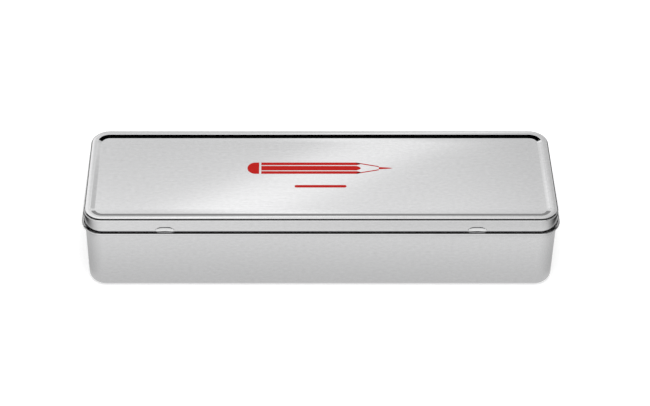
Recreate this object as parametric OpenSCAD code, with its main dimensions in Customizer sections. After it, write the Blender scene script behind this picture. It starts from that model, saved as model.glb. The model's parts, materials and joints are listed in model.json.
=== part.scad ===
// Long pencil tin of thin sheet metal with a hinged lid.
// A drawn body steps in to a neck, and the lid's skirt comes down round that neck.
// The lid's bottom edge is rolled outwards into a bead. At the back the bead is notched twice;
// a short wire pin in the bead crosses each notch, and a strap on the body loops round it.
// X runs along the tin, Y from its front to its back, and Z up from the surface it stands on.

/* [Lid] */
// Length of the lid over its skirt
lid_l = 197.8; // [160:0.1:260]
// Width of the lid over its skirt
lid_w = 58.6; // [46:0.1:90]
// Corner radius of the lid, seen from above
corner_r = 8; // [7:0.1:16]
// Height of the lid, from the middle of its rolled edge to its top
skirt_h = 7.25; // [7:0.05:11]
// Radius of the lid's top edge
top_edge_r = 0.85; // [0.4:0.05:1.4]
// Width of the flat rim round the sunk panel, with the top edge's radius
rim_w = 2.8; // [1.6:0.1:3]
// Width of the slope from the rim down to the panel
slope_w = 1.9; // [0.8:0.05:2.4]
// Depth of the sunk panel
panel_d = 0.55; // [0.3:0.05:0.9]
// Outer radius of the lid's rolled edge
bead_r = 0.7; // [0.65:0.01:0.9]

/* [Body] */
// Height of the closed tin
tin_h = 38.1; // [30:0.1:60]
// Thickness of the sheet metal
sheet = 0.3; // [0.22:0.01:0.36]
// Radius of the body's bottom edge
bottom_r = 3.2; // [1.5:0.1:5]
// How far the neck steps in from the body's wall
neck_step = 1.3; // [1.1:0.05:2]
// Inner radius of the two bends of the step
shoulder_r = 0.25; // [0.1:0.05:0.4]
// Gap between the shoulder and the lid's rolled edge
shoulder_gap = 0.3; // [0.3:0.05:1.5]
// Gap between the body's rolled rim and the inside of the lid
rim_gap = 0.6; // [0.4:0.05:1.5]
// Outer radius of the rim, which is rolled inwards
rim_r = 0.5; // [0.42:0.02:0.7]

/* [Snap catches] */
// Distance of each catch from the end of the lid
catch_in = 34; // [20:0.1:60]
// Length of a dimple in the lid's skirt
dimple_l = 7.5; // [4:0.1:10]
// Height of a dimple
dimple_h = 2.9; // [2:0.1:3]
// Depth of a dimple
dimple_d = 0.75; // [0.25:0.05:0.8]
// Height of the dimple's middle over the middle of the rolled edge
dimple_up = 2.3; // [1.6:0.05:2.5]
// Length of a boss pressed out of the neck, above the dimple
boss_l = 6; // [3:0.1:9]
// Height of a boss
boss_h = 2; // [1.4:0.1:2.4]
// How far a boss stands out of the neck
boss_d = 0.25; // [0.15:0.05:0.3]
// Height of the boss's middle over the dimple's middle
boss_up = 2.3; // [1.8:0.1:2.5]

/* [Hinges] */
// Distance of each hinge from the end of the lid
hinge_in = 38.9; // [24:0.1:65]
// Width of a hinge strap
strap_w = 9; // [6:0.5:14]
// Thickness of a hinge strap
strap_t = 0.25; // [0.2:0.01:0.28]
// Length of the strap's leaf, down from the hinge's axis
leaf_l = 9; // [5:0.5:16]
// Width of the slit where the strap's loop ends beside its leaf
loop_slit = 0.3; // [0.15:0.05:0.4]
// Length of a hinge pin
pin_l = 24; // [18:1:40]
// Play of the pin in the lid's rolled edge
pin_slip = 0.03; // [0.02:0.01:0.05]
// Play of the pin in the strap's loop
hinge_play = 0.05; // [0.03:0.01:0.08]
// Gap between the strap and the notch, at its ends and above the loop
notch_gap = 0.35; // [0.3:0.05:0.8]

/* [Hidden] */
left = -1;
right = 1;
sheet_colour = [0.80, 0.81, 0.82];
lid_colour = [0.86, 0.87, 0.88];
strap_colour = [0.66, 0.67, 0.69];
pin_colour = [0.50, 0.51, 0.53];
round_faces = 48;          // faces round a full turn
turn_step = 15;            // degrees between the points of a drawn arc
bead_turn = 272;           // degrees that the sheet turns through in the lid's rolled edge
rim_turn = 270;            // and in the body's rolled rim
overlap = 0.1;             // how far a cutting tool runs past the face that it cuts
clip = 0.02;               // how far a dimple's tool may reach outside the wall
tool_stretch = 1.4;        // length of a dimple's tool over the dimple's own length
tool_parts = 12;           // stretches along a dimple's tool

// The hinge's axis is the middle of the rolled edge at the back
axis_out = bead_r - sheet;                       // outwards from the skirt
axis_y = lid_w / 2 + axis_out;
axis_z = tin_h - skirt_h;
pin_r = bead_r - sheet - pin_slip;
bore_r = pin_r + hinge_play;
loop_r = bore_r + strap_t;
notch_top = axis_z + loop_r + notch_gap;

// The body's wall stands where the strap's leaf lies flat on it
body_in = loop_r - axis_out;                     // in from the outside of the lid
body_l = lid_l - 2 * body_in;
body_w = lid_w - 2 * body_in;
body_r = corner_r - body_in;
neck_y = body_w / 2 - neck_step;
shoulder_z = axis_z - bead_r - shoulder_gap;
neck_top = tin_h - sheet - rim_gap;

catch_x = lid_l / 2 - catch_in;
hinge_x = lid_l / 2 - hinge_in;
dimple_z = axis_z + dimple_up;
boss_z = dimple_z + boss_up;

// Points of an arc round (cx, cy), from angle a0 to a1
function arc(cx, cy, r, a0, a1) =
    let (n = ceil(abs(a1 - a0) / turn_step))
    [for (i = [0:n]) let (a = a0 + (a1 - a0) * i / n) [cx + r * cos(a), cy + r * sin(a)]];
function reversed(points) = [for (i = [len(points) - 1:-1:0]) points[i]];

// The section of a pressed sheet lies between its outer face, t = 0, and its inner face, t = sheet.
// Its first number counts from the centre of the tin's rounded corner outwards, its second is height.
function lid_face(t) = concat(
    [[0, tin_h - panel_d - t]],
    [[corner_r - rim_w - slope_w, tin_h - panel_d - t]],
    [[corner_r - rim_w, tin_h - t]],
    arc(corner_r - top_edge_r, tin_h - top_edge_r, top_edge_r - t, 90, 0),
    arc(corner_r + axis_out, axis_z, axis_out + t, 180, 180 + bead_turn));

function body_face(t) = concat(
    [[0, t]],
    arc(body_r - bottom_r, bottom_r, bottom_r - t, -90, 0),
    arc(body_r - shoulder_r - sheet, shoulder_z - shoulder_r - sheet, shoulder_r + sheet - t, 0, 90),
    reversed(arc(body_r - neck_step + shoulder_r, shoulder_z + shoulder_r, shoulder_r + t, 180, 270)),
    arc(body_r - neck_step - rim_r, neck_top - rim_r, rim_r - t, 0, rim_turn));

// Carries the section round a rectangle with rounded corners and closes its middle with a plate
module press(l, w, r, plate_z) {
    run_x = l / 2 - r;
    run_y = w / 2 - r;
    for (corner = [[1, 1, 0], [-1, 1, 90], [-1, -1, 180], [1, -1, 270]])
        translate([corner[0] * run_x, corner[1] * run_y, 0])
            rotate([0, 0, corner[2]])
                rotate_extrude(angle = 90, $fn = round_faces)
                    children();
    for (side = [[0, run_x, run_y], [90, run_y, run_x], [180, run_x, run_y], [270, run_y, run_x]])
        rotate([0, 0, side[0]])
            translate([side[1], side[2], 0])
                rotate([90, 0, 0])
                    linear_extrude(2 * side[2])
                        children();
    translate([-run_x, -run_y, plate_z])
        cube([2 * run_x, 2 * run_y, sheet]);
}

// The tool that presses a long dimple of length l, height h and depth d into a flat face.
// It is a slender barrel along X; grow makes it thicker all round.
function tool_radius(h, d) = (h * h / 4 + d * d) / (2 * d);
function barrel_radius(x, l, h, d) =
    let (sweep = tool_radius(l, d))
    tool_radius(h, d) - sweep + sqrt(sweep * sweep - x * x);

module press_tool(l, h, d, grow) {
    end = l / 2 * tool_stretch;
    line = [for (i = [0:tool_parts])
        let (x = end * (2 * i / tool_parts - 1))
        [barrel_radius(x, l, h, d) + grow, x]];
    rotate([0, 90, 0])
        rotate_extrude($fn = round_faces)
            polygon(concat([[0, -end]], line, [[0, end]]));
}

// Keeps what of its children lies between two planes across Y
module between(y0, y1) {
    intersection() {
        children();
        translate([-lid_l, y0, 0])
            cube([2 * lid_l, y1 - y0, 2 * tin_h]);
    }
}

module at_catches(y, z) {
    for (side = [left, right])
        translate([side * catch_x, y, z])
            children();
}

module body() {
    reach = tool_radius(boss_h, boss_d) - boss_d;
    color(sheet_colour)
    difference() {
        union() {
            press(body_l, body_w, body_r, 0)
                polygon(concat(body_face(0), reversed(body_face(sheet))));
            between(-neck_y - 2 * boss_d, -neck_y + sheet / 2)
                at_catches(-neck_y + reach, boss_z)
                    press_tool(boss_l, boss_h, boss_d, 0);
        }
        between(-neck_y - boss_d, -neck_y + sheet + clip)
            at_catches(-neck_y + reach, boss_z)
                press_tool(boss_l, boss_h, boss_d, -sheet);
    }
}

module lid() {
    face = -lid_w / 2;
    reach = tool_radius(dimple_h, dimple_d) - dimple_d;
    color(lid_colour)
    difference() {
        union() {
            press(lid_l, lid_w, corner_r, tin_h - panel_d - sheet)
                polygon(concat(lid_face(0), reversed(lid_face(sheet))));
            between(face + sheet / 2, face + 2 * (sheet + dimple_d))
                at_catches(face - reach, dimple_z)
                    press_tool(dimple_l, dimple_h, dimple_d, sheet);
        }
        between(face - clip, face + sheet + dimple_d)
            at_catches(face - reach, dimple_z)
                press_tool(dimple_l, dimple_h, dimple_d, 0);
        hinge_notch(left);
        hinge_notch(right);
    }
}

// The gap in the lid's rolled edge where a strap comes up to its pin
module hinge_notch(side) {
    half = strap_w / 2 + notch_gap;
    translate([side * hinge_x - half, lid_w / 2 - sheet - overlap, axis_z - bead_r - overlap])
        cube([2 * half, sheet + 2 * bead_r + overlap, notch_top - axis_z + bead_r + overlap]);
}

// A strip looped round the hinge pin, with its leaf down the outside of the body's back wall
module hinge_strap(side) {
    slit_end = acos((loop_slit - bore_r) / loop_r);
    slit_top = -bore_r / 3;    // inside the bore, so that the slit opens into it
    section = concat(
        [[-loop_r, -leaf_l]],
        arc(0, 0, loop_r, 180, -slit_end),
        [[loop_slit - bore_r, slit_top], [-bore_r, slit_top], [-bore_r, -leaf_l]]);
    color(strap_colour)
    translate([side * hinge_x - strap_w / 2, axis_y, axis_z])
        rotate([90, 0, 90])
            difference() {
                linear_extrude(strap_w)
                    polygon(section);
                translate([0, 0, -overlap])
                    cylinder(h = strap_w + 2 * overlap, r = bore_r, $fn = round_faces);
            }
}

// A straight piece of wire along the hinge's axis, inside the lid's rolled edge
module hinge_pin(side) {
    color(pin_colour)
    translate([side * hinge_x - pin_l / 2, axis_y, axis_z])
        rotate([0, 90, 0])
            cylinder(h = pin_l, r = pin_r, $fn = round_faces);
}

body();
lid();
hinge_strap(left);  // hinge_strap_left
hinge_strap(right);  // hinge_strap_right
hinge_pin(left);  // hinge_pin_left
hinge_pin(right);  // hinge_pin_right
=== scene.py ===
import json
import math

import bmesh
import bpy
import numpy as np
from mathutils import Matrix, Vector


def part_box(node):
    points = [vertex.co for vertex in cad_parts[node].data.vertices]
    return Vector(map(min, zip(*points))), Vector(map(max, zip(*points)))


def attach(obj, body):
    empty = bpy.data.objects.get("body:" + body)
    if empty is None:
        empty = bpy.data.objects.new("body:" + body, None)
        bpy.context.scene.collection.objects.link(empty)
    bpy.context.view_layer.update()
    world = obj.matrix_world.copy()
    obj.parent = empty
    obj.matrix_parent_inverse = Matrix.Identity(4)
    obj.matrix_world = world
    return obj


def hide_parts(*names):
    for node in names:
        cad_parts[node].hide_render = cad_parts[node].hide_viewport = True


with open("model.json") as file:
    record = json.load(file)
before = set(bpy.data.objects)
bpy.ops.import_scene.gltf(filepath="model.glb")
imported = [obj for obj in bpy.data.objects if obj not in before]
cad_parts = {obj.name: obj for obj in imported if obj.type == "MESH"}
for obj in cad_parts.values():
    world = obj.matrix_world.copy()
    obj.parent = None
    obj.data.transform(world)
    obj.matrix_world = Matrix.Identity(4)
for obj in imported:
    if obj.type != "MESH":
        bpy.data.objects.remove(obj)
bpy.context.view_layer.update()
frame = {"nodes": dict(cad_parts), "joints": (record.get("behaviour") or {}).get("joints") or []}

# A long pencil tin of thin sheet metal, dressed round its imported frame.
# Lengths are in millimetres until a mesh is made. X runs along the tin, -Y is its front, Z is up.
MM = 0.001

# ---- Sizes of the pressed sheets ----
SHEET = 0.3
BEAD_R = 0.7               # outside of the lid's rolled edge
BEAD_TURN = 272            # degrees that the sheet turns through in it
CORNER_R = 8.0             # the lid's corners, seen from above
TOP_EDGE_R = 0.85          # bend from the skirt to the rim
RIM_W = 2.8                # rim round the sunk panel, with that bend
RIM_CROWN = 1.5            # degrees that the rim falls away to each side
SLOPE_W = 1.9              # from the rim down to the panel
PANEL_D = 0.55             # the panel, below the rim's highest line
PANEL_BEND_R = 0.4         # both bends of the slope
BOTTOM_R = 3.2             # bend from the base to the wall
NECK_STEP = 1.3            # the neck, in from the wall
SHOULDER_R = 0.25          # inside of both bends of the shoulder
SHOULDER_GAP = 0.3         # from the shoulder up to the rolled edge
NECK_RIM_R = 0.5           # roll at the top of the neck
NECK_RIM_TURN = 270

# ---- Snap catches ----
CATCH_IN = 34.0            # from the lid's end
DIMPLE_L = 7.8
DIMPLE_H = 3.8
DIMPLE_D = 1.2
DIMPLE_UP = 1.6            # its middle, over the middle of the rolled edge
DIMPLE_ROUND = 2.4         # power in its outline; 2 would be an ellipse
DIMPLE_DEEPEST = 0.55      # its deepest line, as a share of the way from its middle to its upper edge
DIMPLE_DISH = 2.6          # power of its fall from that line down to its lower edge
BEAD_PRESS = 0.1           # how far the rolled edge is pressed in under a dimple
PRESS_FROM = 1.1           # that starts this far over the middle of the rolled edge
PRESS_FULL = 0.5           # and is whole from here down
BOSS_L = 6.0
BOSS_H = 2.0
BOSS_D = 0.25
BOSS_UP = 4.6              # over the middle of the rolled edge

# ---- Hinges ----
PIN_SLIP = 0.03            # between the pin and the rolled edge round it
PIN_PLAY = 0.05            # between the pin and the strap's loop
STRAP_T = 0.25
STRAP_FOOT_R = 2.0
STRAP_SLIT = 0.3           # between the leaf and the end of the loop
WELD_R = 0.9
WELD_D = 0.09
WELD_UP = 3.2              # over the strap's foot
NOTCH_GAP = 0.35           # between a strap and its notch in the lid

# ---- How finely the sheets are divided ----
CORNER_STEPS = 24
COARSE = 9.0               # longest stretch of a straight side between two stations
PRESS_STEP = 0.2           # between stations along a pressed place
PRESS_REACH = 1.2          # they go this many times its half size to each side, as a boss's rows do
DIMPLE_REACH = 1.1         # the skirt's fine rows go this many times half a dimple's height over its middle
STRAP_COLUMNS = 41
SAME_DIGITS = 4            # stations that agree to this many decimals are one
STRAIGHT = 0.999           # cosine of a direction from the front or the back, past which it is straight
MERGE = 0.001              # points closer than this are one
SHARP = 40                 # degrees between two faces that make a sharp edge
TINY = 1e-6                # keeps a root off zero
INNER_GRAIN = 6.0          # how far off the outer face's grain the inner face reads its own


def box_mm(node):
    """The low and high corner of a node's box, in millimetres."""
    low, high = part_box(node)
    return np.array(low) / MM, np.array(high) / MM


lid_low, lid_high = box_mm("lid")
body_high = box_mm("body")[1]
strap_low, strap_high = box_mm("hinge_strap_right")
hinge_axis = np.array(frame["joints"][0]["pos_m"]) / MM

axis_out = BEAD_R - SHEET
axis_z = lid_low[2] + BEAD_R
tin_h = lid_high[2]
lid_half = lid_high[:2] - axis_out - BEAD_R
body_half = body_high[:2]
body_r = CORNER_R - (lid_half[0] - body_half[0])
neck_top = body_high[2]
bore_r = axis_out - PIN_SLIP + PIN_PLAY
loop_r = bore_r + STRAP_T
hinge_x = (strap_low[0] + strap_high[0]) / 2
strap_w = strap_high[0] - strap_low[0]
notch_half = strap_w / 2 + NOTCH_GAP
notch_top = axis_z + loop_r + NOTCH_GAP
catch_x = lid_half[0] - CATCH_IN
dimple_z = axis_z + DIMPLE_UP
boss_z = axis_z + BOSS_UP


# ---- Sections of bent sheet ----
def walk(start, heading, moves):
    """Follows the outer face of a bent sheet through the section plane, with the outside on its right.

    A move (None, length, steps) goes straight on. A move (radius, turn, steps) goes round a circle of
    that radius through turn degrees, to the left if turn is positive. Gives the points, the unit
    normals to the right of the way, and the length walked at each point.
    """
    place = np.array(start, float)
    angle = math.radians(heading)
    points, headings, lengths = [place[None]], [np.array([angle])], [np.zeros(1)]
    for radius, amount, steps in moves:
        share = np.linspace(0, 1, steps + 1)[1:]
        walked = lengths[-1][-1]
        if radius is None:
            way = np.array([math.cos(angle), math.sin(angle)])
            points.append(place + share[:, None] * amount * way)
            headings.append(np.full(steps, angle))
            lengths.append(walked + share * amount)
        else:
            turn = math.radians(amount)
            side = math.copysign(radius, turn)
            centre = place + side * np.array([-math.sin(angle), math.cos(angle)])
            turned = angle + share * turn
            points.append(centre + side * np.stack([np.sin(turned), -np.cos(turned)], -1))
            headings.append(turned)
            lengths.append(walked + share * abs(turn) * radius)
        place, angle = points[-1][-1], headings[-1][-1]
    angles = np.concatenate(headings)
    normals = np.stack([np.sin(angles), -np.cos(angles)], -1)
    return np.concatenate(points), normals, np.concatenate(lengths)


def lid_section():
    """The lid from the end of its rolled edge, up the skirt and over the rim to the middle of the panel.

    Its third part is the length of sheet from each point to that middle.
    """
    slope = math.degrees(math.atan2(PANEL_D, SLOPE_W))
    crown_dip = 1 - math.cos(math.radians(RIM_CROWN))
    rim_r = (RIM_W - TOP_EDGE_R) / math.radians(2 * RIM_CROWN)
    edge_rise = TOP_EDGE_R * (1 - crown_dip) + rim_r * crown_dip
    in_bends = PANEL_BEND_R * (2 * (1 - math.cos(math.radians(slope))) - crown_dip)
    drop = PANEL_D - rim_r * crown_dip
    dimple_top = dimple_z + DIMPLE_H / 2 * DIMPLE_REACH
    skirt_top = tin_h - edge_rise
    end = math.radians(180 + BEAD_TURN)
    start = (CORNER_R + axis_out + axis_out * math.cos(end), axis_z + axis_out * math.sin(end))
    points, normals, lengths = walk(start, 90 + BEAD_TURN, [
        (axis_out, -BEAD_TURN, 36),
        (None, notch_top - axis_z, 9),
        (None, dimple_top - notch_top, 30),
        (None, skirt_top - dimple_top, 5),
        (TOP_EDGE_R, 90 - RIM_CROWN, 12),
        (rim_r, 2 * RIM_CROWN, 6),
        (PANEL_BEND_R, slope - RIM_CROWN, 6),
        (None, (drop - in_bends) / math.sin(math.radians(slope)), 2),
        (PANEL_BEND_R, -slope, 7),
    ])
    middle = np.array([[0, points[-1][1]]])
    reach = lengths[-1] + points[-1][0]
    return (np.concatenate([points, middle]), np.concatenate([normals, normals[-1:]]),
            reach - np.append(lengths, reach))


def body_section():
    """The body from the middle of its base, up the wall, over the shoulder and up to the rolled rim."""
    shoulder_z = axis_z - BEAD_R - SHOULDER_GAP
    wall_top = shoulder_z - SHOULDER_R - SHEET
    neck_low = shoulder_z + SHOULDER_R
    boss_low = boss_z - BOSS_H / 2 * PRESS_REACH
    boss_high = boss_z + BOSS_H / 2 * PRESS_REACH
    return walk((0, 0), 0, [
        (None, body_r - BOTTOM_R, 2),
        (BOTTOM_R, 90, 16),
        (None, wall_top - BOTTOM_R, 8),
        (SHOULDER_R + SHEET, 90, 10),
        (None, NECK_STEP - 2 * SHOULDER_R - SHEET, 2),
        (SHOULDER_R, -90, 8),
        (None, boss_low - neck_low, 5),
        (None, boss_high - boss_low, 14),
        (None, neck_top - NECK_RIM_R - boss_high, 2),
        (NECK_RIM_R, NECK_RIM_TURN, 22),
    ])


# ---- Stations round the tin ----
def spread(half, *exact):
    """Stations from -half to half: the exact ones, mirrored, and even ones in the gaps between them."""
    known = np.concatenate([[-half, half], *exact, *[-e for e in exact]])
    known = np.unique(np.round(known, SAME_DIGITS))
    parts = [np.linspace(a, b, int((b - a) // COARSE) + 2)[:-1] for a, b in zip(known[:-1], known[1:])]
    return np.concatenate(parts + [[half]])


def around(middle, length):
    """Even stations across a pressed place and a little beyond its ends."""
    reach = length / 2 * PRESS_REACH
    return np.linspace(middle - reach, middle + reach, int(2 * reach / PRESS_STEP) + 1)


def outline(half, radius, xs, ys):
    """Stations round a rectangle with rounded corners, anticlockwise seen from above.

    Each has an inner point, which moves along the straight sides and stands still at the corners'
    centres, and a unit direction outwards, which turns evenly through each corner.
    """
    run = half - radius
    bends = np.linspace(0, 90, CORNER_STEPS + 1)[1:-1]
    inner, angles = [], []
    for side, (spots, fixed) in enumerate(((xs, -run[1]), (ys, run[0]), (-xs, run[1]), (-ys, -run[0]))):
        line = np.full((len(spots), 2), fixed)
        line[:, side % 2] = spots
        corner = np.repeat(line[-1:], len(bends), 0)
        inner.append(np.concatenate([line, corner]))
        angles.append(90 * side - 90 + np.concatenate([np.zeros(len(spots)), bends]))
    turned = np.radians(np.concatenate(angles))
    return np.concatenate(inner), np.stack([np.cos(turned), np.sin(turned)], -1)


# ---- Pressed places ----
def swell(share):
    """1 at 0, falling to 0 at 1 and -1 as the squared cosine of a quarter turn."""
    return np.cos(np.clip(np.abs(share), 0, 1) * math.pi / 2) ** 2


def dimple(x, z):
    """Depth of a dimple at x and z from its middle.

    Its outline at x is DIMPLE_H times s high, where s is the root of 1 less the DIMPLE_ROUND power of x
    over half its length. From its deepest line the depth falls upwards as 1 less the square of the way
    to the edge, and downwards as the DIMPLE_DISH power of what is left of the way; it shrinks by s too.
    """
    shrink = np.sqrt(np.clip(1 - np.abs(x / (DIMPLE_L / 2)) ** DIMPLE_ROUND, TINY, 1))
    height = z / (DIMPLE_H / 2 * shrink) - DIMPLE_DEEPEST
    up = np.clip(height / (1 - DIMPLE_DEEPEST), 0, 1)
    down = np.clip(-height / (1 + DIMPLE_DEEPEST), 0, 1)
    return DIMPLE_D * shrink * np.where(height > 0, 1 - up ** 2, (1 - down) ** DIMPLE_DISH)


def boss(x, z):
    """Height of a boss: it swells from the edge of a stadium to the line along its middle."""
    along = np.maximum(np.abs(x) - (BOSS_L - BOSS_H) / 2, 0)
    return BOSS_D * swell(np.hypot(along, z) / (BOSS_H / 2))


def lid_shape(points, out):
    """Presses the two dimples into the front skirt, and the rolled edge in a little below each."""
    front = out[:, 1] < -STRAIGHT
    x, z = points[:, front, 0], points[:, front, 2]
    skirt = points[:, front, 1] < -(lid_half[1] - 2 * SHEET)
    edge = np.clip((axis_z + PRESS_FROM - z) / (PRESS_FROM - PRESS_FULL), 0, 1)
    for middle in (-catch_x, catch_x):
        dent = dimple(x - middle, z - dimple_z)
        pinch = BEAD_PRESS * swell((x - middle) / (DIMPLE_L / 2))
        points[:, front, 1] += np.where(skirt, dent * (z > axis_z) + pinch * edge, 0)


def body_shape(points, out):
    """Presses the two bosses out of the front of the neck."""
    front = out[:, 1] < -STRAIGHT
    x, z = points[:, front, 0], points[:, front, 2]
    for middle in (-catch_x, catch_x):
        points[:, front, 1] -= boss(x - middle, z - boss_z)


def hinge_notches(line, inner, out):
    """The quads of the rolled edge and of the skirt's foot where a strap comes up to its pin."""
    low = (line[:-1, 1] + line[1:, 1]) / 2 < notch_top
    middle = (inner + np.roll(inner, -1, 0)) / 2
    at_strap = np.abs(np.abs(middle[:, 0]) - hinge_x) < notch_half
    back = (out[:, 1] > STRAIGHT) & (np.roll(out, -1, 0)[:, 1] > STRAIGHT)
    return low[:, None] & (at_strap & back)[None]


# ---- Meshes ----
def ring_quads(rows, columns):
    """Corner numbers of a grid's quads, by row and column, with the last column joined to the first."""
    row, column = np.meshgrid(np.arange(rows - 1), np.arange(columns), indexing="ij")
    following = (column + 1) % columns
    return np.stack([row * columns + column, row * columns + following,
                     (row + 1) * columns + following, (row + 1) * columns + column], -1)


def open_quads(rows, columns, first=0):
    """Quads of a grid that isn't joined, whose corners are numbered row by row from first."""
    row, column = np.meshgrid(np.arange(rows - 1), np.arange(columns - 1), indexing="ij")
    corner = first + row * columns + column
    return np.stack([corner, corner + columns, corner + columns + 1, corner + 1], -1).reshape(-1, 4)


def edge_quads(start, end, shift):
    """Quads from one face's edges to the same edges of the other face, whose numbers are shift higher."""
    return np.stack([start, end, end + shift, start + shift], -1)


def shell_quads(kept, centre_row):
    """Quads of a shell's two faces, and of an edge between them wherever the kept quads end.

    The ring of points at centre_row isn't an edge, because a plate fills it.
    """
    rows, columns = kept.shape[0] + 1, kept.shape[1]
    shift = rows * columns
    face = ring_quads(rows, columns)[kept]
    number = np.arange(shift).reshape(rows, columns)
    beside = np.zeros((rows + 1, columns), bool)
    beside[1:-1] = kept
    beside[0 if centre_row == 0 else -1] = True
    along = beside[:-1] != beside[1:]
    upright = kept != np.roll(kept, 1, 1)
    return np.concatenate([
        face, face + shift,
        edge_quads(number[along], np.roll(number, -1, 1)[along], shift),
        edge_quads(number[:-1][upright], number[1:][upright], shift)])


def add_object(name, data):
    """A new object at the origin that holds the data."""
    thing = bpy.data.objects.new(name, data)
    bpy.context.scene.collection.objects.link(thing)
    return thing


def make_piece(name, points, quads, blank=None):
    """A closed mesh from points in millimetres and quads, with doubles merged and its faces outwards."""
    used, corners = np.unique(quads, return_inverse=True)
    mesh = bpy.data.meshes.new(name)
    mesh.from_pydata(points[used] * MM, [], corners.reshape(-1, 4).tolist())
    if blank is not None:
        flat = mesh.attributes.new("blank", "FLOAT_VECTOR", "POINT")
        flat.data.foreach_set("vector", (blank[used] * MM).astype(np.float32).ravel())
    work = bmesh.new()
    work.from_mesh(mesh)
    bmesh.ops.remove_doubles(work, verts=work.verts, dist=MERGE * MM)
    bmesh.ops.recalc_face_normals(work, faces=work.faces)
    work.to_mesh(mesh)
    work.free()
    mesh.polygons.foreach_set("use_smooth", np.ones(len(mesh.polygons), bool))
    mesh.set_sharp_from_angle(angle=math.radians(SHARP))
    return add_object(name, mesh)


def carried(line, inner, out):
    """A line at every station: the inner point plus out times the line's distance, at its height."""
    ring = inner[None] + line[:, None, :1] * out[None]
    return np.concatenate([ring, np.broadcast_to(line[:, None, 1:], ring.shape[:2] + (1,))], -1)


def pressed_shell(name, section, half, radius, xs, ys, shape, cut=None):
    """A sheet's section carried round a rounded rectangle, with a flat plate inside its centre ring.

    The inner face lies one sheet further in along the section's normals. shape(points, out) moves the
    points of a face, and cut(line, inner, out) says which quads are left out. The attribute blank is
    each point's place on the flat sheet before it was pressed.
    """
    line, normals, spans = section
    inner, out = outline(half, radius, xs, ys)
    faces = [carried(line, inner, out), carried(line - SHEET * normals, inner, out)]
    for face in faces:
        shape(face, out)
    centre_row = int(np.argmin(np.abs(spans)))
    kept = np.ones((len(line) - 1, len(inner)), bool)
    if cut is not None:
        kept = ~cut(line, inner, out)

    plate = np.stack(np.meshgrid(xs, ys, indexing="ij"), -1).reshape(-1, 2)
    plates = [np.column_stack([plate, np.full(len(plate), face[centre_row, 0, 2])]) for face in faces]
    plate_start = 2 * len(line) * len(inner)
    quads = [shell_quads(kept, centre_row)]
    quads += [open_quads(len(xs), len(ys), plate_start + i * len(plate)) for i in range(len(plates))]
    points = [face.reshape(-1, 3) for face in faces] + plates

    spans_only = np.column_stack([np.abs(spans), np.zeros(len(spans))])
    flat = carried(spans_only, inner, out).reshape(-1, 3)
    flat_plate = np.column_stack([plate, np.zeros(len(plate))])
    off = np.array([0, 0, INNER_GRAIN])
    blank = np.concatenate([flat, flat + off, flat_plate, flat_plate + off])
    return make_piece(name, np.concatenate(points), np.concatenate(quads), blank)


def hinge_strap(name, middle):
    """A strip from its rounded foot up the body's wall and round the pin, with two spot welds.

    Its section is a straight leaf and then a loop. Each row is as wide as the rounded foot allows, and
    a weld is a small dent that swells round its middle.
    """
    leaf = axis_z - strap_low[2]
    slit = math.degrees(math.acos((STRAP_SLIT - bore_r) / loop_r))
    line, normals, spans = walk((-loop_r, -leaf), 90, [
        (None, STRAP_FOOT_R, 10),
        (None, leaf - STRAP_FOOT_R, 34),
        (loop_r, -180 - slit, 40),
    ])
    in_foot = np.maximum(STRAP_FOOT_R - spans, 0)
    half = strap_w / 2 - STRAP_FOOT_R + np.sqrt(STRAP_FOOT_R ** 2 - in_foot ** 2)
    x = middle + half[:, None] * np.linspace(-1, 1, STRAP_COLUMNS)
    sides = []
    for depth in (0, STRAP_T):
        off = np.broadcast_to((line + depth * normals)[:, None], x.shape + (2,)).copy()
        for weld in (-strap_w / 4, strap_w / 4):
            away = np.hypot(x - middle - weld, spans[:, None] - WELD_UP)
            off[..., 0] -= np.sign(depth) * WELD_D * swell(away / WELD_R)
        sides.append(np.stack([x, hinge_axis[1] + off[..., 0], axis_z + off[..., 1]], -1).reshape(-1, 3))
    number = np.arange(x.size).reshape(x.shape)
    rim = np.concatenate([number[0, :-1], number[:-1, -1], number[-1, :0:-1], number[:0:-1, 0]])
    face = open_quads(*x.shape)
    quads = np.concatenate([face, face + x.size, edge_quads(rim, np.roll(rim, -1), x.size)])
    flat = np.stack([np.broadcast_to(spans[:, None], x.shape), x, np.zeros_like(x)], -1).reshape(-1, 3)
    return make_piece(name, np.concatenate(sides), quads, np.concatenate([flat, flat]))


# ---- Print on the panel: a pencil and a short rule under it ----
INK_OVER = 0.02            # the print's thickness over the sheet
INK_UNDER = 0.01           # and how far its closed mesh reaches into it
PENCIL_HALF = 31.0         # half of the pencil's length
PENCIL_R = 3.7             # half of its height
PENCIL_Y = 4.6             # its middle, back from the middle of the panel
CAP_L = 5.0
CAP_ROUND = 3.5            # length of the cap's rounded end
CAP_GAP = 0.9
FACET_HALF = 1.45          # half of the middle facet's height
FACET_GAP = 0.55
BARREL_END = 15.5
SCALLOP = 1.8              # how far a facet's paint bulges towards the point
CONE_LINE = 0.6
LEAD_BACK = 25.0           # where the lead starts
LEAD_R = 1.35
LEAD_POINT = 0.5           # how blunt its point is
RULE_HALF = 11.0
RULE_R = 0.8
RULE_Y = -7.2
BAR_POINTS, FACET_POINTS, CONE_POINTS, LEAD_POINTS = 41, 17, 9, 21


def ink_slab(low, high, panel_z):
    """A thin closed slab between two lines of points on the panel, with a cap at each end."""
    bottom, top = panel_z - INK_UNDER, panel_z + INK_OVER
    corners = [np.column_stack([line, np.full(len(line), z)])
               for line, z in ((low, bottom), (high, bottom), (high, top), (low, top))]
    first = np.arange(len(corners))
    caps = np.stack([first, first + len(corners) * (len(low) - 1)])
    sides = ring_quads(len(low), len(corners)).reshape(-1, 4)
    return np.stack(corners, 1).reshape(-1, 3), np.concatenate([sides, caps])


def both_sides(x, y, half):
    """The lower and upper line of a shape that lies evenly about y."""
    return np.column_stack([x, y - half]), np.column_stack([x, y + half])


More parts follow.
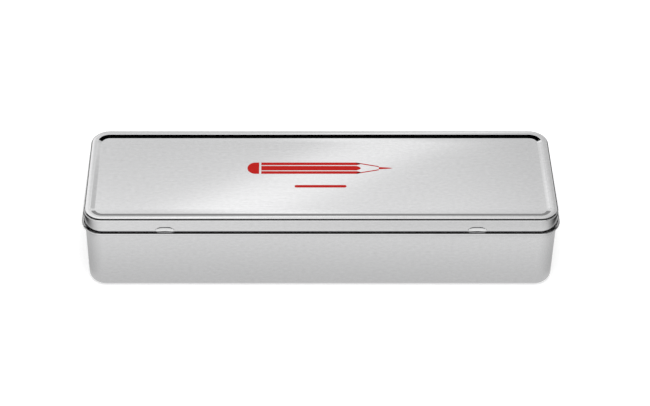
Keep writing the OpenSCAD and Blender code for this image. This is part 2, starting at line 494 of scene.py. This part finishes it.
def oval_end(way, length):
    """1, but within length of an end the root of 1 less the square of the share left of that length."""
    return np.sqrt(np.clip(1 - np.clip((length - way) / length, 0, 1) ** 2, 0, 1))


def bar(half_l, half_h, middle_x, y, ends):
    """A bar along X round a middle. Each end is an oval as long as ends says, or square where that is 0."""
    share = (1 - np.cos(np.linspace(0, math.pi, BAR_POINTS))) / 2
    left_x = middle_x - half_l
    x = left_x + 2 * half_l * share
    rise = np.ones_like(x)
    for way, length in zip((x - left_x, left_x + 2 * half_l - x), ends):
        if length:
            rise = np.minimum(rise, oval_end(way, length))
    return both_sides(x, y, half_h * rise)


def facet(y0, y1):
    """One facet of the barrel, between two lines across it; its paint ends in a parabola."""
    y = np.linspace(y0, y1, FACET_POINTS)
    bulge = 1 - (2 * (y - (y0 + y1) / 2) / (y1 - y0)) ** 2
    back = np.full_like(y, -PENCIL_HALF + CAP_L + CAP_GAP)
    front = BARREL_END + SCALLOP * bulge
    return np.column_stack([back, PENCIL_Y + y]), np.column_stack([front, PENCIL_Y + y])


def cone_edge(side):
    """The line from the barrel's corner to the lead, as thick as CONE_LINE across the tin."""
    x = np.linspace(BARREL_END, LEAD_BACK, CONE_POINTS)
    outer = PENCIL_R + (LEAD_R - PENCIL_R) * (x - BARREL_END) / (LEAD_BACK - BARREL_END)
    return both_sides(x, PENCIL_Y + side * (outer - CONE_LINE / 2), CONE_LINE / 2)


def lead():
    """The lead: it narrows evenly, and its point is rounded by the square root of what is left."""
    x = np.linspace(LEAD_BACK, PENCIL_HALF, LEAD_POINTS)
    left = (PENCIL_HALF - x) / (PENCIL_HALF - LEAD_BACK)
    return both_sides(x, PENCIL_Y, LEAD_R * np.minimum(left, np.sqrt(left) * LEAD_POINT))


def pencil_print(panel_z):
    """All of the print as one piece, on the panel at its height."""
    facet_out = FACET_HALF + FACET_GAP
    lines = [
        bar(CAP_L / 2, PENCIL_R, CAP_L / 2 - PENCIL_HALF, PENCIL_Y, (CAP_ROUND, 0)),
        facet(-PENCIL_R, -facet_out), facet(-FACET_HALF, FACET_HALF), facet(facet_out, PENCIL_R),
        cone_edge(-1), cone_edge(1), lead(),
        bar(RULE_HALF, RULE_R, 0, RULE_Y, (RULE_R, RULE_R))]
    points, quads, count = [], [], 0
    for low, high in lines:
        slab_points, slab_quads = ink_slab(low, high, panel_z)
        points.append(slab_points)
        quads.append(slab_quads + count)
        count += len(slab_points)
    return make_piece("pencil_print", np.concatenate(points), np.concatenate(quads))


# ---- Shader maths ----
class Value:
    """One socket's value, so that shader maths is written as plain expressions."""

    def __init__(self, nodes, socket):
        self.nodes = nodes
        self.socket = socket

    def maths(self, operation, *others, first=None):
        operands = (self if first is None else first,) + others
        return self.nodes.add("ShaderNodeMath", {"operation": operation}, dict(enumerate(operands)))

    def __add__(self, other):
        return self.maths("ADD", other)

    __radd__ = __add__

    def __mul__(self, other):
        return self.maths("MULTIPLY", other)

    __rmul__ = __mul__

    def __sub__(self, other):
        return self.maths("SUBTRACT", other)

    def __rsub__(self, other):
        return self.maths("SUBTRACT", self, first=other)

    def __truediv__(self, other):
        return self.maths("DIVIDE", other)

    def rise(self, low, high):
        """0 below low, 1 above high, and a smooth step between."""
        return self.nodes.add("ShaderNodeMapRange", {"interpolation_type": "SMOOTHSTEP"},
                              {"Value": self, "From Min": low, "From Max": high})

    def band(self, low, high, soft):
        """1 between low and high, falling smoothly to 0 within soft outside them."""
        return self.rise(low - soft, low) * (1 - self.rise(high, high + soft))


class Nodes:
    """A node tree that is filled by calls."""

    def __init__(self, tree):
        self.tree = tree
        tree.nodes.clear()

    def add(self, kind, settings=None, sockets=None, output=0):
        """Adds a node, sets its settings and then its sockets' values or links; gives one output."""
        node = self.tree.nodes.new(kind)
        for key, value in (settings or {}).items():
            setattr(node, key, value)
        for key, value in (sockets or {}).items():
            if isinstance(value, Value):
                self.tree.links.new(value.socket, node.inputs[key])
            else:
                node.inputs[key].default_value = value
        return Value(self, node.outputs[output]) if len(node.outputs) else None

    def parts(self, vector):
        """The three parts of a vector."""
        split = self.add("ShaderNodeSeparateXYZ", {}, {0: vector}).socket.node
        return [Value(self, socket) for socket in split.outputs]

    def noise(self, where, pitch, detail=2.0, roughness=0.5):
        """Noise about 0 at a vector, with its turns per metre for each of the vector's three parts."""
        place = self.add("ShaderNodeMapping", {}, {"Vector": where, "Scale": pitch})
        return self.add("ShaderNodeTexNoise", {}, {
            "Vector": place, "Scale": 1.0, "Detail": detail, "Roughness": roughness}) - 0.5

    def shaded(self, colour, tone):
        """A colour times a tone."""
        return self.add("ShaderNodeVectorMath", {"operation": "SCALE"}, {"Vector": colour, "Scale": tone})

    def bump(self, height, strength):
        """A normal from a height that swings by BUMP_H."""
        return self.add("ShaderNodeBump", {}, {
            "Height": height, "Strength": strength, "Distance": BUMP_H * MM})


def new_material(name):
    """A material and its empty node tree."""
    material = bpy.data.materials.new(name)
    material.use_nodes = True
    return material, Nodes(material.node_tree)


# ---- Finishes ----
GRAIN_PITCH = (30, 1400, 1400)      # the brushing, in turns per metre along the sheet and across it
GRAIN_NOISE = (3.0, 0.6)            # its detail and roughness
SPECK_PITCH = (500, 1100, 1100)
CLOUD_PITCH = (18, 26, 26)
COVER_PITCH = (700, 700, 700)       # the ink's cover
SPECK_TONE, CLOUD_TONE, COVER_TONE = 0.16, 0.03, 0.12      # how far each changes the colour
GRAIN_ROUGH, CLOUD_ROUGH, COVER_ROUGH = 0.08, 0.03, 0.1    # and the roughness
GRAIN_RELIEF, SPECK_RELIEF = 0.4, 0.6
BUMP_H = 0.004
SHEET_BUMP = 0.35
INK_BUMP = 0.2
INK_ROUGH = 0.5
INK_SHINE = 0.15

LID_GREY, LID_ROUGH = (0.66, 0.66, 0.665), 0.09
BODY_GREY, BODY_ROUGH = (0.64, 0.64, 0.645), 0.16
STRAP_GREY, STRAP_ROUGH = (0.58, 0.58, 0.585), 0.3
WIRE_GREY, WIRE_ROUGH = (0.5, 0.5, 0.505), 0.25
INK_RED = (0.55, 0.012, 0.008)


def brushed_tinplate(name, grey, roughness, from_blank=True):
    """Satin tinplate: fine lengthwise grain in roughness and bump, small specks, and faint clouds."""
    material, nodes = new_material(name)
    if from_blank:
        where = nodes.add("ShaderNodeAttribute", {"attribute_name": "blank"}, output="Vector")
    else:
        where = nodes.add("ShaderNodeTexCoord", output="Object")
    grain = nodes.noise(where, GRAIN_PITCH, *GRAIN_NOISE)
    speck = nodes.noise(where, SPECK_PITCH)
    cloud = nodes.noise(where, CLOUD_PITCH)
    surface = nodes.add("ShaderNodeBsdfPrincipled", {}, {
        "Base Color": nodes.shaded(grey, 1 + speck * SPECK_TONE + cloud * CLOUD_TONE),
        "Metallic": 1.0,
        "Roughness": roughness + grain * GRAIN_ROUGH + cloud * CLOUD_ROUGH,
        "Normal": nodes.bump(grain * GRAIN_RELIEF + speck * SPECK_RELIEF, SHEET_BUMP)})
    nodes.add("ShaderNodeOutputMaterial", {}, {"Surface": surface})
    return material


def printed_ink(name, colour):
    """Satin red ink: slightly uneven cover, and the sheet's grain faintly through it."""
    material, nodes = new_material(name)
    where = nodes.add("ShaderNodeTexCoord", output="Object")
    grain = nodes.noise(where, GRAIN_PITCH, *GRAIN_NOISE)
    cover = nodes.noise(where, COVER_PITCH)
    surface = nodes.add("ShaderNodeBsdfPrincipled", {}, {
        "Base Color": nodes.shaded(colour, 1 + cover * COVER_TONE),
        "Roughness": INK_ROUGH + cover * COVER_ROUGH,
        "Normal": nodes.bump(grain, INK_BUMP),
        "Specular IOR Level": INK_SHINE})
    nodes.add("ShaderNodeOutputMaterial", {}, {"Surface": surface})
    return material


lid_finish = brushed_tinplate("tinplate of the lid", LID_GREY, LID_ROUGH)
body_finish = brushed_tinplate("tinplate of the body", BODY_GREY, BODY_ROUGH)
strap_finish = brushed_tinplate("rolled strip", STRAP_GREY, STRAP_ROUGH)
wire_finish = brushed_tinplate("drawn wire", WIRE_GREY, WIRE_ROUGH, from_blank=False)
ink_finish = printed_ink("red ink", INK_RED)

# ---- The pieces ----
run_x, run_y = lid_half - CORNER_R
side_ys = spread(run_y)
notch_xs = np.array([hinge_x - notch_half, hinge_x + notch_half])
lid_xs = spread(run_x, around(catch_x, DIMPLE_L), notch_xs)
body_xs = spread(run_x, around(catch_x, BOSS_L))
lid_line = lid_section()

lid = pressed_shell("lid_pressing", lid_line, lid_half, CORNER_R, lid_xs, side_ys, lid_shape, hinge_notches)
lid.data.materials.append(lid_finish)
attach(lid, "tin_lid")
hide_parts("lid")

pencil = pencil_print(lid_line[0][-1, 1])
pencil.data.materials.append(ink_finish)
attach(pencil, "tin_lid")

body = pressed_shell("body_pressing", body_section(), body_half, body_r, body_xs, side_ys, body_shape)
body.data.materials.append(body_finish)
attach(body, "tin_body")
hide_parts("body")

for side, middle in (("left", -hinge_x), ("right", hinge_x)):
    strap = hinge_strap("hinge_strip_" + side, middle)
    strap.data.materials.append(strap_finish)
    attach(strap, "tin_body")
    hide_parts("hinge_strap_" + side)
    pin = frame["nodes"]["hinge_pin_" + side]
    pin.data.materials.clear()
    pin.data.materials.append(wire_finish)

# ---- Camera ----
LENS_PX = 1990.5           # the lens, in pixels of the photograph
PHOTO_W = 650
PHOTO_MIDDLE = (325.0, 203.0)
AXIS_PX = (283.8, 203.5)   # where the lens's axis meets the photograph
SENSOR_W = 36
CAMERA_AT = (-15.5, -642.2, 587.1)
CAMERA_DOWN = 41.37        # degrees below level

camera_data = bpy.data.cameras.new("camera")
camera_data.sensor_width = SENSOR_W
camera_data.lens = LENS_PX / PHOTO_W * SENSOR_W
camera_data.shift_x = (PHOTO_MIDDLE[0] - AXIS_PX[0]) / PHOTO_W
camera_data.shift_y = (AXIS_PX[1] - PHOTO_MIDDLE[1]) / PHOTO_W
camera = add_object("camera", camera_data)
camera.location = np.array(CAMERA_AT) * MM
camera.rotation_euler = (math.radians(90 - CAMERA_DOWN), 0, 0)
bpy.context.scene.camera = camera

# ---- The floor ----
# Below, a pair of numbers is where a smooth step starts and ends, and three are a band's two ends and
# how soft they are.
WHITE = (1, 1, 1, 1)
PAPER = (0.8, 0.8, 0.8, 1)
FLOOR_HALF = 2500
FLOOR_GLOW = 0.5           # what the paper adds for the camera
FLOOR_IN_MIRRORS = 1.0
NEAR_SHADE = (0, 38)       # a painted contact shadow in mirrors: greyer between the tin's foot and this far off
NEAR_DEPTH = 0.22
FAR_SHADE = (33, 39)       # and painted shade in mirrors, greyer again from this far off
FAR_DEPTH = 0.07
FAR_SLANT = 0.0008         # which deepens to the right, by this for each millimetre
CORNER_SHADE_ALONG = (6, 65, 6)    # painted shade in mirrors: a dark patch lies this far past each of the tin's ends
CORNER_SHADE_COSINES = (-0.3, 1.15)  # it fades as the way to it from the front corner turns to the front
CORNER_SHADE_EDGE = (39.5, 45)     # nearer to the corner's centre than this it is weaker
CORNER_SHADE_INNER = 0.3           # and has this share of its depth
CORNER_SHADE_END_Y = (30, 70)      # and behind the tin it fades out
CORNER_SHADE_DEPTH = 0.95


def flat_plate(name, half_u, half_v, middle, u, v):
    """A rectangle round a point, from two unit vectors in its plane."""
    signs = np.array([(-1, -1), (1, -1), (1, 1), (-1, 1)])
    corners = middle + signs[:, :1] * half_u * np.array(u) + signs[:, 1:] * half_v * np.array(v)
    mesh = bpy.data.meshes.new(name)
    mesh.from_pydata(corners * MM, [], [(0, 1, 2, 3)])
    plate = add_object(name, mesh)
    return plate


def ray_kinds(nodes):
    """1 for a camera ray, and 1 for a ray that is mirrored or passes through glass."""
    ways = nodes.add("ShaderNodeLightPath").socket.node.outputs
    kinds = ("Camera", "Glossy", "Transmission")
    seen, mirrored, through = [Value(nodes, ways[f"Is {kind} Ray"]) for kind in kinds]
    return seen, mirrored.maths("MAXIMUM", through)


def floor_paper():
    """White paper. In mirrors it shows painted shade: a painted contact shadow close to the tin, painted
    shade far off, and a painted dark patch past each end.
    """
    material, nodes = new_material("white paper")
    seen, mirrored = ray_kinds(nodes)
    x, y, _ = nodes.parts(nodes.add("ShaderNodeTexCoord", output="Object"))
    beyond_x = (x.maths("ABSOLUTE") / MM - body_half[0]).maths("MAXIMUM", 0)
    beyond_y = (y.maths("ABSOLUTE") / MM - body_half[1]).maths("MAXIMUM", 0)
    away = (beyond_x * beyond_x + beyond_y * beyond_y).maths("SQRT")
    # A painted contact shadow round the tin's foot, seen only in mirrors
    near = 1 - away.rise(*NEAR_SHADE)
    # Painted shade seen only in mirrors: greyer far off, and more so to the right
    far = away.rise(*FAR_SHADE) * (FAR_DEPTH + x / MM * FAR_SLANT)

    # A painted dark patch past each end, seen only in mirrors: painted shade on the paper, where no dark
    # sheet lies
    from_corner_x = beyond_x + CORNER_R
    from_corner_y = y / MM + body_half[1] - CORNER_R
    from_corner = (from_corner_x * from_corner_x + from_corner_y * from_corner_y).maths("SQRT")
    aside = 1 - (from_corner_y * -1 / from_corner).rise(*CORNER_SHADE_COSINES)
    corner_shade = aside * (CORNER_SHADE_INNER + from_corner.rise(*CORNER_SHADE_EDGE) * (1 - CORNER_SHADE_INNER))
    corner_shade = corner_shade * beyond_x.band(*CORNER_SHADE_ALONG) * (1 - (y / MM).rise(*CORNER_SHADE_END_Y))

    # The paper as mirrors see it: white, less the painted contact shadow, the painted shade far off and the
    # painted dark patches
    mirror_tone = (FLOOR_IN_MIRRORS - near * NEAR_DEPTH - far) * (1 - corner_shade * CORNER_SHADE_DEPTH)
    paper = nodes.add("ShaderNodeBsdfDiffuse", {}, {"Color": PAPER})
    glow = nodes.add("ShaderNodeEmission", {}, {"Color": WHITE, "Strength": seen * FLOOR_GLOW})
    lit = nodes.add("ShaderNodeAddShader", {}, {0: paper, 1: glow})
    shown = nodes.add("ShaderNodeEmission", {}, {"Color": WHITE, "Strength": mirror_tone})
    surface = nodes.add("ShaderNodeMixShader", {}, {"Fac": mirrored, 1: lit, 2: shown})
    nodes.add("ShaderNodeOutputMaterial", {}, {"Surface": surface})
    return material


floor = flat_plate("floor", FLOOR_HALF, FLOOR_HALF, (0, 0, 0), (1, 0, 0), (0, 1, 0))
floor.data.materials.append(floor_paper())

# ---- The card that the panel mirrors ----
# u goes along the card to the right and v up it, both from its middle.
CARD_AWAY = 1400
CARD_HALF = (420, 140)
CARD_TONE = 0.86
CARD_RISE_V = (-68, 86)    # it brightens upwards between these
CARD_RISE = 0.3
CARD_FALL_U = (160, 265)   # and darkens a little to the right between these
CARD_FALL = 0.09
STRIPE_MIDDLE = -28        # a pale stripe crosses the card's middle here
STRIPE_SLANT = -2.37       # and goes this far to the right for each millimetre up
STRIPE_HALF = 42
STRIPE_SOFT = 40
STRIPE_TONE = 0.42
WING_LEFT_U = (-250, -230)  # past these it has one plain tone on each side
WING_LEFT_TONE = 1.25
WING_RIGHT_U = (275, 295)
WING_RIGHT_TONE = 0.72


def lights_only_mirrors(plate):
    """Leaves a plate to be seen by mirrored rays alone."""
    for kind in ("visible_camera", "visible_diffuse", "visible_shadow", "visible_transmission"):
        setattr(plate, kind, False)


def card_paper(middle, up):
    """The graded card: a pale stripe runs slantwise across it between two plain wings."""
    material, nodes = new_material("graded card")
    x, y, z = nodes.parts(nodes.add("ShaderNodeTexCoord", output="Object"))
    v = ((y - middle[1] * MM) * up[1] + (z - middle[2] * MM) * up[2]) / MM
    u = x / MM
    stripe = (u - v * STRIPE_SLANT - STRIPE_MIDDLE).band(-STRIPE_HALF, STRIPE_HALF, STRIPE_SOFT)
    grade = CARD_TONE + v.rise(*CARD_RISE_V) * CARD_RISE - u.rise(*CARD_FALL_U) * CARD_FALL
    wing_left = 1 - u.rise(*WING_LEFT_U)
    wing_right = u.rise(*WING_RIGHT_U)
    tone = (grade + stripe * STRIPE_TONE) * (1 - wing_left - wing_right)
    tone = tone + wing_left * WING_LEFT_TONE + wing_right * WING_RIGHT_TONE
    glow = nodes.add("ShaderNodeEmission", {}, {"Color": WHITE, "Strength": tone})
    nodes.add("ShaderNodeOutputMaterial", {}, {"Surface": glow})
    return material


card_way = np.array([0, math.cos(math.radians(CAMERA_DOWN)), math.sin(math.radians(CAMERA_DOWN))])
card_up = np.array([0, -card_way[2], card_way[1]])
card_middle = np.array([0, 0, tin_h]) + CARD_AWAY * card_way
card = flat_plate("graded card", *CARD_HALF, card_middle, (1, 0, 0), card_up)
card.data.materials.append(card_paper(card_middle, card_up))
lights_only_mirrors(card)

# ---- The lamp, which lights the floor and the print ----
LAMP_SIZE = 1200
LAMP_WATTS = 13.0
LAMP_AT = (0, -350, 1200)
LAMP_TILT = 16

lamp_data = bpy.data.lights.new("overhead lamp", "AREA")
lamp_data.shape = "DISK"
lamp_data.size = LAMP_SIZE * MM
lamp_data.energy = LAMP_WATTS
lamp = add_object("overhead lamp", lamp_data)
lamp.location = np.array(LAMP_AT) * MM
lamp.rotation_euler = (math.radians(LAMP_TILT), 0, 0)
lamp.visible_glossy = False

# ---- The room's light ----
# OVER is an angle over the tin: 0 at the front horizon, 90 straight up, 180 at the back horizon.
# The other values are parts of the unit vector of a direction: SPAN to either side, UP and BACK.
FRONT_OVER, FRONT_SPAN, FRONT_TONE = (-20, 36, 4), (0.45, 0.65), 1.3
FRONT_FALL_OVER, FRONT_FALL = (12, 20), 0.25
BACK_OVER, BACK_SPAN, BACK_TONE = (134, 150, 4), (0.34, 0.46), 0.95
LOW_BACK_OVER, LOW_BACK_SPAN, LOW_BACK_TONE = (155, 200, 10), (0.42, 0.52), 0.35
SIDE_UP, SIDE_SPAN, SIDE_TONE = (0.14, 0.42, 0.08), (0.8, 0.86), 0.3
FRONT_FILL_OVER, FRONT_FILL_SPAN = (4, 56, 8), (0.5, 0.65)
BACK_FILL_OVER, BACK_FILL_SPAN = (128, 172, 6), (0.36, 0.48)
GAP_BACK, GAP_UP = (0.69, 0.81, 0.04), (0.38, 0.46)
FILL_TONE = 0.4
ABOVE_OVER, ABOVE_TONE = (84, 99, 4), 0.14


def studio_light(nodes):
    """Soft bands of light across the room, dimmer fills beside them, and white for the camera."""
    x, y, z = nodes.parts(nodes.add("ShaderNodeTexCoord", output="Generated"))
    over = z.maths("ARCTAN2", y * -1) * (180 / math.pi)
    aside = x.maths("ABSOLUTE")
    seen, _ = ray_kinds(nodes)
    front = over.band(*FRONT_OVER) * (1 - aside.rise(*FRONT_SPAN))
    front = front * (1 - over.rise(*FRONT_FALL_OVER) * FRONT_FALL)
    back = over.band(*BACK_OVER) * (1 - aside.rise(*BACK_SPAN))
    low_back = over.band(*LOW_BACK_OVER) * (1 - aside.rise(*LOW_BACK_SPAN))
    side_wall = aside.rise(*SIDE_SPAN)
    sides = z.band(*SIDE_UP) * side_wall
    front_fill = over.band(*FRONT_FILL_OVER) * aside.rise(*FRONT_FILL_SPAN)
    gap = y.band(*GAP_BACK) * (1 - z.rise(*GAP_UP))
    back_fill = over.band(*BACK_FILL_OVER) * aside.rise(*BACK_FILL_SPAN) * (1 - gap)
    fill = (front_fill + back_fill) * (1 - side_wall)
    above = over.band(*ABOVE_OVER)
    light = front * FRONT_TONE + back * BACK_TONE + low_back * LOW_BACK_TONE
    light = light + sides * SIDE_TONE + fill * FILL_TONE + above * ABOVE_TONE
    background = nodes.add("ShaderNodeBackground", {}, {
        "Color": WHITE, "Strength": light * (1 - seen) + seen})
    nodes.add("ShaderNodeOutputWorld", {}, {"Surface": background})


world = bpy.data.worlds.new("studio")
world.use_nodes = True
bpy.context.scene.world = world
studio_light(Nodes(world.node_tree))

bpy.context.scene.view_settings.view_transform = "Standard"
